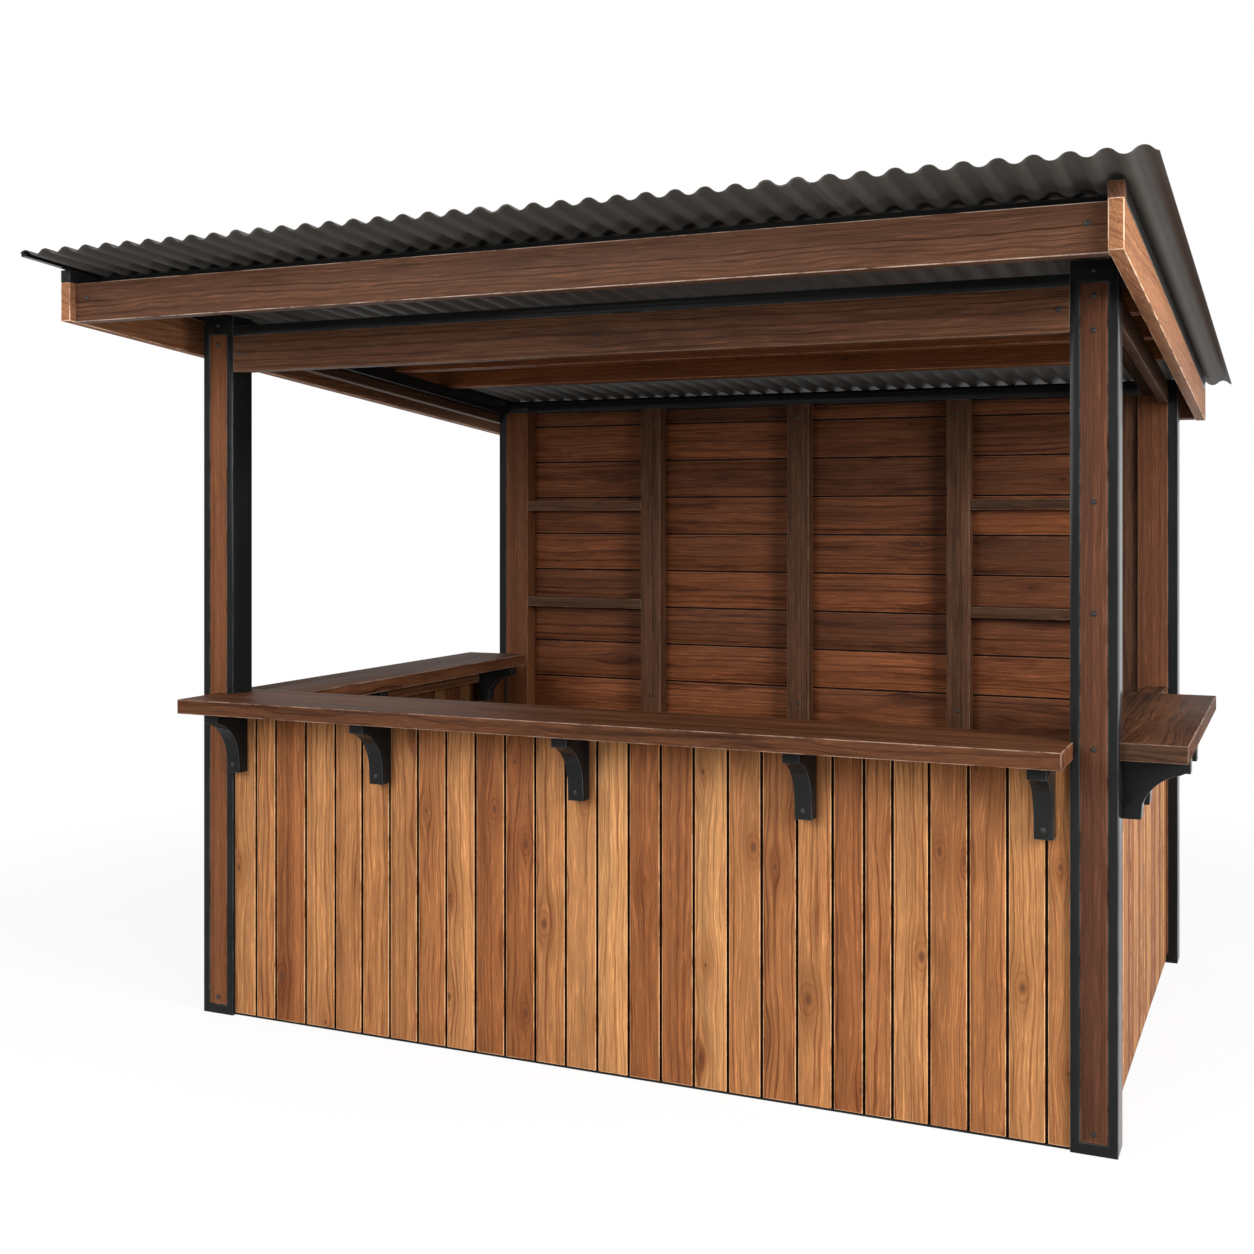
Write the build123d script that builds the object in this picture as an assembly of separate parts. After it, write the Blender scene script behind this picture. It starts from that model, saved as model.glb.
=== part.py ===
"""A wooden market stall: four steel and timber posts, boarded low walls with
counters on brackets, a boarded back wall with shelves, and a corrugated roof."""

import os
from math import asin, atan, cos, degrees, sin

from build123d import *

# Plan: x runs from the outer face of the left posts, y from the front face of the front posts
FRAME_WIDTH = 2927.0
FRAME_DEPTH = 2000.0
FRONT_POST_WIDTH = 120.0
BACK_POST_WIDTH = 140.0
POST_DEPTH = 100.0
FRONT_POST_TOP = 2316.0
BACK_LEFT_POST_SETBACK = 80.0

# Post steel and its timber core
STEEL = 5.0
FRONT_FLANGE = 24.0
BACK_FLANGE = 32.0
SHADOW_GAP = 2.0
FOOT_HEIGHT = 30.0
FRONT_CAP_HEIGHT = 60.0
FOOT_PLATE = 8.0

# Roof plane: the height of the sheets' underside at y = 0, and its fall to the back
ROOF_HEIGHT = 2371.6
ROOF_FALL = 0.077
ROOF_FRONT = -680.0
ROOF_BACK = 2500.0

# Corrugated sheets, each with a lip that runs down past its last crest
ROOF_LEFT = -122.0
WAVE_PITCH = 77.0
WAVE_DEPTH = 18.0
SHEET_THICKNESS = 1.5
SHEET_COUNT = 4
HALF_WAVES_PER_SHEET = 23
HALF_WAVES_LAPPED = 3
SHEET_LIP = 0.35

# Roof frame, between the inner faces of its two barge boards
ROOF_FRAME_LEFT = -103.0
ROOF_FRAME_RIGHT = 2960.0
BATTEN_HEIGHT = 38.0
BATTEN_DEPTH = 45.0
FRONT_BATTEN_FRONT = -385.0
BARGE_HEIGHT = 119.0
BARGE_THICKNESS = 36.0
BARGE_FRONT = -500.0
BARGE_BACK = 2370.0
FASCIA_SETBACK = 23.0
FASCIA_THICKNESS = 35.0
PURLIN_HEIGHT = 77.0
PURLIN_DEPTH = 45.0
PURLIN_FRONTS = (600.0, 1000.0, 1400.0)

# Beams
BEAM_BOTTOM = 2130.0
BEAM_HEIGHT = 120.0
BEAM_DEPTH = 50.0
FRONT_RAIL_HEIGHT = 33.0
SIDE_BEAM_HEIGHT = 46.0
SIDE_PLANK_HEIGHT = 78.0
SIDE_PLANK_THICKNESS = 30.0
LEFT_PLANK_SETBACK = 50.0
RIGHT_PLANK_SETBACK = 32.0
BACK_RAIL_HEIGHT = 38.0

# Walls
BOARD_THICKNESS = 22.0
GROUND_GAP = 8.0
FRONT_BOARD_SETBACK = 10.0
LEFT_BOARD_SETBACK = 84.0
RIGHT_BOARD_SETBACK = 40.0
WALL_RAIL_DEPTH = 45.0
WALL_RAIL_HEIGHT = 70.0
BOTTOM_RAIL_HEIGHT = 60.0
STUD_WIDTH = 90.0
STUD_DEPTH = 68.0
STUD_CENTRES = (810.0, 1463.5, 2117.0)
CORNER_STUD_WIDTH = 80.0
CORNER_STUD_SETBACK = 20.0

# Counters
COUNTER_TOP = 1066.0
COUNTER_THICKNESS = 46.0
FRONT_COUNTER_FRONT = -204.0
FRONT_COUNTER_BACK = 140.0
FRONT_COUNTER_LEFT = 60.0
FRONT_COUNTER_RIGHT = 2815.0
SIDE_COUNTER_WIDTH = 270.0
LEFT_COUNTER_LEFT = 50.0
LEFT_COUNTER_BACK = 1690.0
RIGHT_COUNTER_RIGHT = 3095.0
RIGHT_COUNTER_FRONT = 32.0
RIGHT_COUNTER_BACK = 1260.0

# Brackets
BRACKET_THICKNESS = 50.0
FRONT_BRACKET_RIGHTS = (172.0, 726.0, 1421.0, 2121.0, 2770.0)
FRONT_BRACKET_REACH = 155.0
FRONT_BRACKET_HEIGHT = 208.0
RIGHT_BRACKET_FRONTS = (112.0, 340.0)
RIGHT_BRACKET_HEIGHT = 164.0
RIGHT_FOOT_OUT = 48.0
LEFT_BRACKET_HEIGHT = 147.0
LEFT_BRACKET_FRONTS = (600.0, 1590.0)
NOSE_HEIGHT = 36.0
BRACKET_FOOT_DEPTH = 46.0

# Shelves
SHELF_TOPS = (1300.0, 1720.0)
SHELF_THICKNESS = 42.0

# Worked out from the above
COUNTER_UNDERSIDE = COUNTER_TOP - COUNTER_THICKNESS
BACK_POST_FRONT = FRAME_DEPTH - POST_DEPTH
INNER_LEFT = FRONT_POST_WIDTH
INNER_RIGHT = FRAME_WIDTH - FRONT_POST_WIDTH
MIDDLE = FRAME_WIDTH / 2
HALF_WAVE = WAVE_PITCH / 2

# The part's own origin: under the middle of its overall plan, on the ground
ORIGIN_X = (ROOF_FRAME_LEFT - BARGE_THICKNESS + RIGHT_COUNTER_RIGHT) / 2
ORIGIN_Y = (ROOF_FRONT + ROOF_BACK) / 2


def roof_height(y):
    """Height of the underside of the sheets above the point y."""
    return ROOF_HEIGHT - ROOF_FALL * y


BACK_POST_TOP = roof_height(BACK_POST_FRONT) - PURLIN_HEIGHT
BACK_RAIL_BOTTOM = BACK_POST_TOP - BACK_RAIL_HEIGHT


def block(x, y, z):
    """A square-cut piece between two limits along each axis."""
    limits = (x, y, z)
    size = [high - low for low, high in limits]
    centre = [(high + low) / 2 for low, high in limits]
    return Pos(*centre) * Box(*size)


def sloped(x, y, drop, height):
    """A plumb-ended piece that follows the roof, its top the drop below the sheets."""
    front, back = y
    front_top = roof_height(front) - drop
    back_top = roof_height(back) - drop
    side = Polyline(
        (front, front_top - height),
        (back, back_top - height),
        (back, back_top),
        (front, front_top),
        close=True,
    )
    return extrude(Plane.YZ.offset(x[0]) * make_face(side), amount=x[1] - x[0])


def opposite(piece):
    """The same piece on the other side of the stall."""
    return mirror(piece, about=Plane.YZ.offset(MIDDLE))


def save(name, *solids):
    """One named piece: its solids, moved to the part's own origin."""
    placed = [Pos(-ORIGIN_X, -ORIGIN_Y, 0) * solid for solid in solids]
    shape = placed[0] if len(placed) == 1 else Compound(children=placed)
    shape.label = name
    export_step(shape, f"parts/{name}.step")
    print(name, len(solids), "solid(s)")


def channel(x, y, z, open_side):
    """A steel channel with its web on the outer side and its flanges along x."""
    hollow = (x[0] + STEEL, x[1]) if open_side > 0 else (x[0], x[1] - STEEL)
    inside = block(hollow, (y[0] + STEEL, y[1] - STEEL), z)
    return block(x, y, z) - inside


def front_post_steel():
    """Two channels, a foot ring on a base plate and a head cap, welded together."""
    x = (0, FRONT_POST_WIDTH)
    y = (0, POST_DEPTH)
    tall = (0, FRONT_POST_TOP)
    inner = (STEEL, FRONT_POST_WIDTH - STEEL)
    across = (STEEL, POST_DEPTH - STEEL)
    steel = channel((0, FRONT_FLANGE), y, tall, 1)
    steel += channel((FRONT_POST_WIDTH - FRONT_FLANGE, FRONT_POST_WIDTH), y, tall, -1)
    steel += block(x, y, (0, FOOT_HEIGHT)) - block(inner, across, (FOOT_PLATE, FOOT_HEIGHT))
    cap_bottom = FRONT_POST_TOP - FRONT_CAP_HEIGHT
    cap = block(x, y, (cap_bottom, FRONT_POST_TOP))
    steel += cap - block(inner, across, (cap_bottom, FRONT_POST_TOP - STEEL))
    return steel


def front_post_timber():
    """A core that fills the steel, with a face strip front and back flush with the flanges."""
    inner = (STEEL, FRONT_POST_WIDTH - STEEL)
    across = (STEEL, POST_DEPTH - STEEL)
    core = block(inner, across, (FOOT_PLATE, FRONT_POST_TOP - STEEL))
    edge = FRONT_FLANGE + SHADOW_GAP
    strip_x = (edge, FRONT_POST_WIDTH - edge)
    strip_bottom = FOOT_HEIGHT + SHADOW_GAP
    strip_top = FRONT_POST_TOP - FRONT_CAP_HEIGHT - SHADOW_GAP
    return core + block(strip_x, (0, POST_DEPTH), (strip_bottom, strip_top))


def back_post_steel():
    """An outer channel, a flat let into the back face, a foot ring and a head cap."""
    x = (0, BACK_POST_WIDTH)
    y = (BACK_POST_FRONT, FRAME_DEPTH)
    tall = (0, BACK_POST_TOP)
    inner = (STEEL, BACK_POST_WIDTH - STEEL)
    across = (BACK_POST_FRONT + STEEL, FRAME_DEPTH - STEEL)
    steel = channel((0, BACK_FLANGE), y, tall, 1)
    flat_x = (BACK_POST_WIDTH - FRONT_FLANGE, BACK_POST_WIDTH)
    steel += block(flat_x, (FRAME_DEPTH - STEEL, FRAME_DEPTH), tall)
    steel += block(x, y, (0, FOOT_HEIGHT)) - block(inner, across, (FOOT_PLATE, FOOT_HEIGHT))
    cap = block(x, y, (BACK_RAIL_BOTTOM, BACK_POST_TOP))
    steel += cap - block(inner, across, (BACK_RAIL_BOTTOM, BACK_POST_TOP - STEEL))
    return steel


def back_post_timber():
    """A core that shows its face and side inside the stall and a strip on the back."""
    inner = (STEEL, BACK_POST_WIDTH - STEEL)
    across = (BACK_POST_FRONT + STEEL, FRAME_DEPTH - STEEL)
    core = block(inner, across, (FOOT_PLATE, BACK_POST_TOP - STEEL))
    left = BACK_FLANGE + SHADOW_GAP
    shown = (FOOT_HEIGHT + SHADOW_GAP, BACK_RAIL_BOTTOM - SHADOW_GAP)
    face = block((left, BACK_POST_WIDTH), (BACK_POST_FRONT, FRAME_DEPTH - STEEL), shown)
    strip_right = BACK_POST_WIDTH - FRONT_FLANGE - SHADOW_GAP
    strip = block((left, strip_right), (BACK_POST_FRONT, FRAME_DEPTH), shown)
    return core + face + strip


def bracket_profile(reach, height, nose_inset, foot_depth):
    """Side outline of a corbel, x out from the wall and y down from the counter."""
    curve_start = (reach - nose_inset, -NOSE_HEIGHT - 6)
    curve_end = (foot_depth, -height * 0.76)
    outline = Polyline(
        (0, 0), (reach, 0), (reach, -NOSE_HEIGHT), (reach - nose_inset * 0.5, -NOSE_HEIGHT), curve_start
    )
    hollow = SagittaArc(curve_start, curve_end, -height * 0.1)
    foot = Polyline(curve_end, (foot_depth - 3, -height), (0, -height), (0, 0))
    return make_face(outline + hollow + foot)


def bracket(wall_point, outward, reach, height, foot_depth=BRACKET_FOOT_DEPTH, nose_inset=26):
    """A corbel whose back is on the wall, centred on the wall point."""
    side = Plane(origin=wall_point, x_dir=outward, z_dir=Vector(*outward).cross(Vector(0, 0, 1)))
    profile = side * bracket_profile(reach, height, nose_inset, foot_depth)
    return extrude(profile, amount=BRACKET_THICKNESS / 2, both=True)


def front_brackets():
    """The five corbels under the front counter."""
    wall = FRONT_BOARD_SETBACK
    centres = [right - BRACKET_THICKNESS / 2 for right in FRONT_BRACKET_RIGHTS]
    return [
        bracket((x, wall, COUNTER_UNDERSIDE), (0, -1, 0), FRONT_BRACKET_REACH, FRONT_BRACKET_HEIGHT)
        for x in centres
    ]


def right_brackets():
    """The two corbels under the outside counter, their noses flush with its edge."""
    wall = FRAME_WIDTH - RIGHT_BOARD_SETBACK
    reach = RIGHT_COUNTER_RIGHT - wall
    foot = FRAME_WIDTH + RIGHT_FOOT_OUT - wall
    return [
        bracket(
            (wall, front + BRACKET_THICKNESS / 2, COUNTER_UNDERSIDE),
            (1, 0, 0),
            reach,
            RIGHT_BRACKET_HEIGHT,
            foot,
        )
        for front in RIGHT_BRACKET_FRONTS
    ]


def left_brackets():
    """The two corbels inside the stall, under the left counter."""
    wall = LEFT_BOARD_SETBACK + BOARD_THICKNESS + WALL_RAIL_DEPTH
    return [
        bracket(
            (wall, front + BRACKET_THICKNESS / 2, COUNTER_UNDERSIDE),
            (1, 0, 0),
            FRONT_BRACKET_REACH,
            LEFT_BRACKET_HEIGHT,
        )
        for front in LEFT_BRACKET_FRONTS
    ]


def front_counter():
    """The front top, notched round the left post and cut back beside the right one."""
    top = block(
        (FRONT_COUNTER_LEFT, FRONT_COUNTER_RIGHT),
        (FRONT_COUNTER_FRONT, FRONT_COUNTER_BACK),
        (COUNTER_UNDERSIDE, COUNTER_TOP),
    )
    tall = (COUNTER_UNDERSIDE - 1, COUNTER_TOP + 1)
    left_notch = block((FRONT_COUNTER_LEFT, FRONT_POST_WIDTH), (0, POST_DEPTH), tall)
    right_notch = block((INNER_RIGHT, FRONT_COUNTER_RIGHT), (0, FRONT_COUNTER_BACK), tall)
    return top - left_notch - right_notch


def left_counter():
    """The inside top on the left wall, from the front counter to its own cut end."""
    return block(
        (LEFT_COUNTER_LEFT, LEFT_COUNTER_LEFT + SIDE_COUNTER_WIDTH),
        (FRONT_COUNTER_BACK, LEFT_COUNTER_BACK),
        (COUNTER_UNDERSIDE, COUNTER_TOP),
    )


def right_counter():
    """The outside top on the right wall, notched round the right front post."""
    top = block(
        (RIGHT_COUNTER_RIGHT - SIDE_COUNTER_WIDTH, RIGHT_COUNTER_RIGHT),
        (RIGHT_COUNTER_FRONT, RIGHT_COUNTER_BACK),
        (COUNTER_UNDERSIDE, COUNTER_TOP),
    )
    tall = (COUNTER_UNDERSIDE - 1, COUNTER_TOP + 1)
    notch = block((INNER_RIGHT, FRAME_WIDTH), (0, POST_DEPTH), tall)
    return top - notch


def wave_line(count, crest_radius, valley_radius, centre_rise, half_angle):
    """A run of tangent arcs, one for each half wave, crest and valley in turn."""
    arcs = []
    for index in range(count):
        crest = index % 2 == 0
        centre_x = (index + 0.5) * HALF_WAVE
        centre_y = -centre_rise if crest else centre_rise
        radius = crest_radius if crest else valley_radius
        start = 90 + half_angle if crest else 270 - half_angle
        sweep = -2 * half_angle if crest else 2 * half_angle
        arcs.append(CenterArc((centre_x, centre_y), radius, start, sweep))
    return arcs


def lip_arc(radius, centre_rise, half_angle):
    """The start of one more valley, which ends a sheet below its last crest."""
    centre = ((HALF_WAVES_PER_SHEET + 0.5) * HALF_WAVE, centre_rise)
    across = (2 * SHEET_LIP - 1) * sin(half_angle)
    return CenterArc(centre, radius, 270 - degrees(half_angle), degrees(half_angle + asin(across)))


def corrugated_sheet(first_half_wave, lift):
    """One sheet of tangent arcs, cut plumb at both ends and laid down the fall."""
    amplitude = (WAVE_DEPTH - SHEET_THICKNESS) / 2
    half_angle = 2 * atan(2 * amplitude / HALF_WAVE)
    radius = HALF_WAVE / (2 * sin(half_angle))
    centre_rise = radius * cos(half_angle)
    turn = degrees(half_angle)
    half = SHEET_THICKNESS / 2
    upper = wave_line(HALF_WAVES_PER_SHEET, radius + half, radius - half, centre_rise, turn)
    lower = wave_line(HALF_WAVES_PER_SHEET, radius - half, radius + half, centre_rise, turn)
    upper.append(lip_arc(radius - half, centre_rise, half_angle))
    lower.append(lip_arc(radius + half, centre_rise, half_angle))
    left_edge = Line(upper[0] @ 0, lower[0] @ 0)
    right_edge = Line(upper[-1] @ 1, lower[-1] @ 1)
    section = make_face(upper + [right_edge] + lower + [left_edge])
    left = ROOF_LEFT + first_half_wave * HALF_WAVE
    middle_height = roof_height(ROOF_FRONT) + WAVE_DEPTH / 2 + lift
    placed = Pos(left, ROOF_FRONT, middle_height) * (Plane.XZ * section)
    run = ROOF_BACK - ROOF_FRONT
    down_slope = Vector(0, run, -ROOF_FALL * run)
    return extrude(placed, amount=down_slope.length, dir=down_slope.normalized())


def roof_sheets():
    """Sheets lapped by one and a half waves, every second one lying over its neighbours."""
    amplitude = (WAVE_DEPTH - SHEET_THICKNESS) / 2
    half_angle = 2 * atan(2 * amplitude / HALF_WAVE)
    lap_lift = SHEET_THICKNESS / cos(half_angle)
    step = HALF_WAVES_PER_SHEET - HALF_WAVES_LAPPED
    for index in range(SHEET_COUNT):
        yield index + 1, corrugated_sheet(index * step, lap_lift if index % 2 else 0)


def wall_rails(x, y):
    """The top and bottom rails that the boards of a low wall are fixed to."""
    top = (COUNTER_UNDERSIDE - WALL_RAIL_HEIGHT, COUNTER_UNDERSIDE)
    bottom = (BOTTOM_RAIL_HEIGHT, BOTTOM_RAIL_HEIGHT + WALL_RAIL_HEIGHT)
    return [block(x, y, top), block(x, y, bottom)]


def build_posts():
    save("post_front_left_steel", front_post_steel())
    save("post_front_left_timber", front_post_timber())
    save("post_front_right_steel", opposite(front_post_steel()))
    save("post_front_right_timber", opposite(front_post_timber()))
    set_in = Pos(BACK_LEFT_POST_SETBACK, 0, 0)
    save("post_back_left_steel", set_in * back_post_steel())
    save("post_back_left_timber", set_in * back_post_timber())
    save("post_back_right_steel", opposite(back_post_steel()))
    save("post_back_right_timber", opposite(back_post_timber()))


def build_low_walls():
    low = (GROUND_GAP, COUNTER_UNDERSIDE)
    front_y = (FRONT_BOARD_SETBACK, FRONT_BOARD_SETBACK + BOARD_THICKNESS)
    save("front_wall", block((INNER_LEFT, INNER_RIGHT), front_y, low))
    rail_y = (front_y[1], front_y[1] + WALL_RAIL_DEPTH)
    save("front_wall_rails", *wall_rails((INNER_LEFT, INNER_RIGHT), rail_y))
    side_y = (POST_DEPTH, BACK_POST_FRONT)
    left_x = (LEFT_BOARD_SETBACK, LEFT_BOARD_SETBACK + BOARD_THICKNESS)
    save("left_wall", block(left_x, side_y, low))
    save("left_wall_rails", *wall_rails((left_x[1], left_x[1] + WALL_RAIL_DEPTH), side_y))
    right_face = FRAME_WIDTH - RIGHT_BOARD_SETBACK
    right_x = (right_face - BOARD_THICKNESS, right_face)
    save("right_wall", block(right_x, side_y, low))
    save("right_wall_rails", *wall_rails((right_x[0] - WALL_RAIL_DEPTH, right_x[0]), side_y))


def build_back_wall():
    between = (BACK_LEFT_POST_SETBACK + BACK_POST_WIDTH, FRAME_WIDTH - BACK_POST_WIDTH)
    board_front = BACK_POST_FRONT + STUD_DEPTH
    board_back = board_front + BOARD_THICKNESS
    tall = (GROUND_GAP, BACK_RAIL_BOTTOM)
    save("back_wall", block(between, (board_front, board_back), tall))
    for name, centre in zip(("left", "middle", "right"), STUD_CENTRES):
        stud_x = (centre - STUD_WIDTH / 2, centre + STUD_WIDTH / 2)
        save(f"back_stud_{name}", block(stud_x, (BACK_POST_FRONT, board_front), tall))
    corner_x = (between[1] - CORNER_STUD_WIDTH, between[1])
    corner_y = (BACK_POST_FRONT + CORNER_STUD_SETBACK, board_front)
    save("back_stud_corner", block(corner_x, corner_y, tall))
    rail = block(between, (BACK_POST_FRONT, board_back), (BACK_RAIL_BOTTOM, BACK_POST_TOP))
    save("back_top_rail", rail)
    left_bay = (between[0], STUD_CENTRES[0] - STUD_WIDTH / 2)
    right_bay = (STUD_CENTRES[2] + STUD_WIDTH / 2, corner_x[0])
    for name, bay in (("left", left_bay), ("right", right_bay)):
        shelves = [
            block(bay, (BACK_POST_FRONT, board_front), (top - SHELF_THICKNESS, top))
            for top in SHELF_TOPS
        ]
        save(f"shelves_{name}", *shelves)


def build_counters():
    save("front_counter", front_counter())
    save("left_counter", left_counter())
    save("right_counter", right_counter())
    save("front_brackets", *front_brackets())
    save("right_brackets", *right_brackets())
    save("left_brackets", *left_brackets())


def build_beams():
    between = (INNER_LEFT, INNER_RIGHT)
    beam_y = (0, BEAM_DEPTH)
    beam_top = BEAM_BOTTOM + BEAM_HEIGHT
    save("front_beam", block(between, beam_y, (BEAM_BOTTOM, beam_top)))
    save("front_top_rail", block(between, beam_y, (beam_top, beam_top + FRONT_RAIL_HEIGHT)))
    side_y = (POST_DEPTH, BACK_POST_FRONT)
    lapped_y = (POST_DEPTH, FRAME_DEPTH)
    left_x = (LEFT_PLANK_SETBACK, LEFT_PLANK_SETBACK + SIDE_PLANK_THICKNESS)
    left_beam_x = (left_x[1], FRONT_POST_WIDTH)
    save("side_plank_left", sloped(left_x, lapped_y, PURLIN_HEIGHT, SIDE_PLANK_HEIGHT))
    save("side_beam_left", sloped(left_beam_x, side_y, PURLIN_HEIGHT, SIDE_BEAM_HEIGHT))
    right_face = FRAME_WIDTH - RIGHT_PLANK_SETBACK
    right_x = (right_face - SIDE_PLANK_THICKNESS, right_face)
    right_beam_x = (INNER_RIGHT, right_x[0])
    save("side_plank_right", sloped(right_x, side_y, PURLIN_HEIGHT, SIDE_PLANK_HEIGHT))
    save("side_beam_right", sloped(right_beam_x, side_y, PURLIN_HEIGHT, SIDE_BEAM_HEIGHT))


def build_roof_frame():
    inner = (ROOF_FRAME_LEFT, ROOF_FRAME_RIGHT)
    left_x = (inner[0] - BARGE_THICKNESS, inner[0])
    right_x = (inner[1], inner[1] + BARGE_THICKNESS)
    barge_y = (BARGE_FRONT, BARGE_BACK)
    save("barge_board_left", sloped(left_x, barge_y, BATTEN_HEIGHT, BARGE_HEIGHT))
    save("barge_board_right", sloped(right_x, barge_y, BATTEN_HEIGHT, BARGE_HEIGHT))
    save("side_battens", *[sloped(x, barge_y, 0, BATTEN_HEIGHT) for x in (left_x, right_x)])
    fascia_y = (BARGE_FRONT + FASCIA_SETBACK, BARGE_FRONT + FASCIA_SETBACK + FASCIA_THICKNESS)
    back_y = (BARGE_BACK - FASCIA_SETBACK - FASCIA_THICKNESS, BARGE_BACK - FASCIA_SETBACK)
    save("front_fascia", sloped(inner, fascia_y, BATTEN_HEIGHT, BARGE_HEIGHT))
    save("back_fascia", sloped(inner, back_y, BATTEN_HEIGHT, BARGE_HEIGHT))
    batten_y = (FRONT_BATTEN_FRONT, FRONT_BATTEN_FRONT + BATTEN_DEPTH)
    save("eaves_battens", *[sloped(inner, y, 0, BATTEN_HEIGHT) for y in (batten_y, back_y)])
    purlins = [
        sloped(inner, (front, front + PURLIN_DEPTH), 0, PURLIN_HEIGHT) for front in PURLIN_FRONTS
    ]
    save("purlins", *purlins)


def main():
    os.makedirs("parts", exist_ok=True)
    build_posts()
    build_low_walls()
    build_back_wall()
    build_counters()
    build_beams()
    build_roof_frame()
    for number, sheet in roof_sheets():
        save(f"roof_sheet_{number}", sheet)
    print("origin in stall plan", ORIGIN_X, ORIGIN_Y)


main()
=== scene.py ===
# %% [markdown]
# # A wooden market stall
# Four posts of steel and timber carry a corrugated roof over three counters and a
# shelved back wall. The imported model already has every solid at its true size, so this
# lesson only dresses it: it cuts the walls into boards, eases the edges, adds the
# fasteners, and gives every surface a finish with real grain and real wear, with painted
# highlights on the eased corners and painted shade in the joints and on the inner walls.

# %% Load the imported model
import random
from math import atan, cos, degrees, pi, radians, sin, sqrt

import bmesh
import bpy
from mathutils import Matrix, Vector


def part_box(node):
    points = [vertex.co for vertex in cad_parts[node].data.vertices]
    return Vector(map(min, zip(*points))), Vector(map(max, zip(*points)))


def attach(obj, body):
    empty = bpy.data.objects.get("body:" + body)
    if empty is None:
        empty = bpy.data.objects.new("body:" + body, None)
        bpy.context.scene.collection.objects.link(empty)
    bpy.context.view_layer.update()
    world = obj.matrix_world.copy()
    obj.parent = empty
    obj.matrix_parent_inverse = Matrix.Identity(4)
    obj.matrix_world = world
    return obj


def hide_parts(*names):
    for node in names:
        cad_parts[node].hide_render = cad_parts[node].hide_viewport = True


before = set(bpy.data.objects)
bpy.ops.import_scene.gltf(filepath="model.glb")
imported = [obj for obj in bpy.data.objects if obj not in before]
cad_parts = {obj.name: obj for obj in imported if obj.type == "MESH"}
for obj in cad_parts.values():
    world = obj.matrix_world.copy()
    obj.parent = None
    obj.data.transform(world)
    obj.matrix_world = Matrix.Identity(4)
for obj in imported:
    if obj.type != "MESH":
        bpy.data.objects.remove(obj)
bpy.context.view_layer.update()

# %% [markdown]
# The camera comes first, because every later choice of detail depends on how large a
# thing is in the picture. The photograph has upright verticals, so the camera is level
# and its picture is shifted down instead of being tilted.

# %% Camera
PICTURE_PIXELS = 1254
FOCAL_PIXELS = 1538.5
HORIZON_PIXEL = 517.1
SENSOR = 36.0
EYE = Vector((1.905, -5.029, 1.65))
TURN = radians(24.02)


def place_camera():
    """A level camera with the photograph's place, direction and field of view."""
    data = bpy.data.cameras.new("camera")
    data.sensor_width = SENSOR
    data.lens = SENSOR * FOCAL_PIXELS / PICTURE_PIXELS
    data.shift_y = (HORIZON_PIXEL - PICTURE_PIXELS / 2) / PICTURE_PIXELS
    camera = bpy.data.objects.new("camera", data)
    camera.location = EYE
    camera.rotation_euler = (radians(90), 0, TURN)
    bpy.context.scene.collection.objects.link(camera)
    bpy.context.scene.camera = camera
    return camera


print("lens", round(place_camera().data.lens, 2), "mm")

# %% [markdown]
# Materials are graphs of nodes. They could be drawn by hand in the editor, but a written
# graph can be read and changed, so these few helpers keep the writing short: one makes a
# node and fills its inputs with numbers or with other nodes' outputs, and the rest are
# shorthands for arithmetic, colours and groups.

# %% Helpers for node graphs


def node(tree, kind, inputs=None, **settings):
    """A new node with its settings made and its inputs set or linked."""
    made = tree.nodes.new(kind)
    for name, value in settings.items():
        setattr(made, name, value)
    for key, value in (inputs or {}).items():
        if isinstance(value, bpy.types.NodeSocket):
            tree.links.new(value, made.inputs[key])
        else:
            made.inputs[key].default_value = value
    return made


def attribute(tree, name):
    """The value that a piece's faces carry under a name."""
    return node(tree, "ShaderNodeAttribute", attribute_name=name).outputs["Fac"]


def maths(tree, operation, first, second=0.0, third=0.0):
    """The output of one arithmetic node."""
    values = {0: first, 1: second, 2: third}
    return node(tree, "ShaderNodeMath", values, operation=operation).outputs[0]


def smooth_step(tree, value, low, high):
    """0 below the low end, 1 above the high end, and a soft ramp between; the ends can be swapped."""
    ramp = {"Value": value, "From Min": low, "From Max": high}
    return node(tree, "ShaderNodeMapRange", ramp, interpolation_type="SMOOTHSTEP").outputs[0]


def blend(tree, amount, first, second, how="MIX"):
    """Two colours mixed by an amount."""
    colours = {0: amount, 6: first, 7: second}
    return node(tree, "ShaderNodeMix", colours, data_type="RGBA", blend_type=how).outputs[2]


def grey(tree, value):
    """A colour with the same value in each channel."""
    return node(tree, "ShaderNodeCombineColor", {0: value, 1: value, 2: value}).outputs[0]


def group(name, inputs, outputs):
    """An empty shader node group with named sockets, and its two ends."""
    tree = bpy.data.node_groups.new(name, "ShaderNodeTree")
    for label, kind in inputs.items():
        tree.interface.new_socket(label, in_out="INPUT", socket_type=f"NodeSocket{kind}")
    for label, kind in outputs.items():
        tree.interface.new_socket(label, in_out="OUTPUT", socket_type=f"NodeSocket{kind}")
    return tree, tree.nodes.new("NodeGroupInput").outputs, tree.nodes.new("NodeGroupOutput").inputs


print("helpers for nodes, arithmetic, colours and groups")

# %% [markdown]
# Sawn timber has knots where branches grew, and its lines part round them. Knots could be
# placed by hand, but a hundred boards need many, so a cell pattern scatters them: some
# cells hold a knot, and the rings are pushed aside near it.

# %% Knots
KNOT_CELL_ACROSS = 0.115
KNOT_CELL_ALONG = 0.46
KNOT_SMALLEST = 0.0035
KNOT_SPREAD = 0.006
KNOT_STRETCH = 0.55
KNOT_FLOW_ACROSS = 0.032
KNOT_FLOW_ALONG = 0.085
KNOT_PUSH = 0.93


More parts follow.
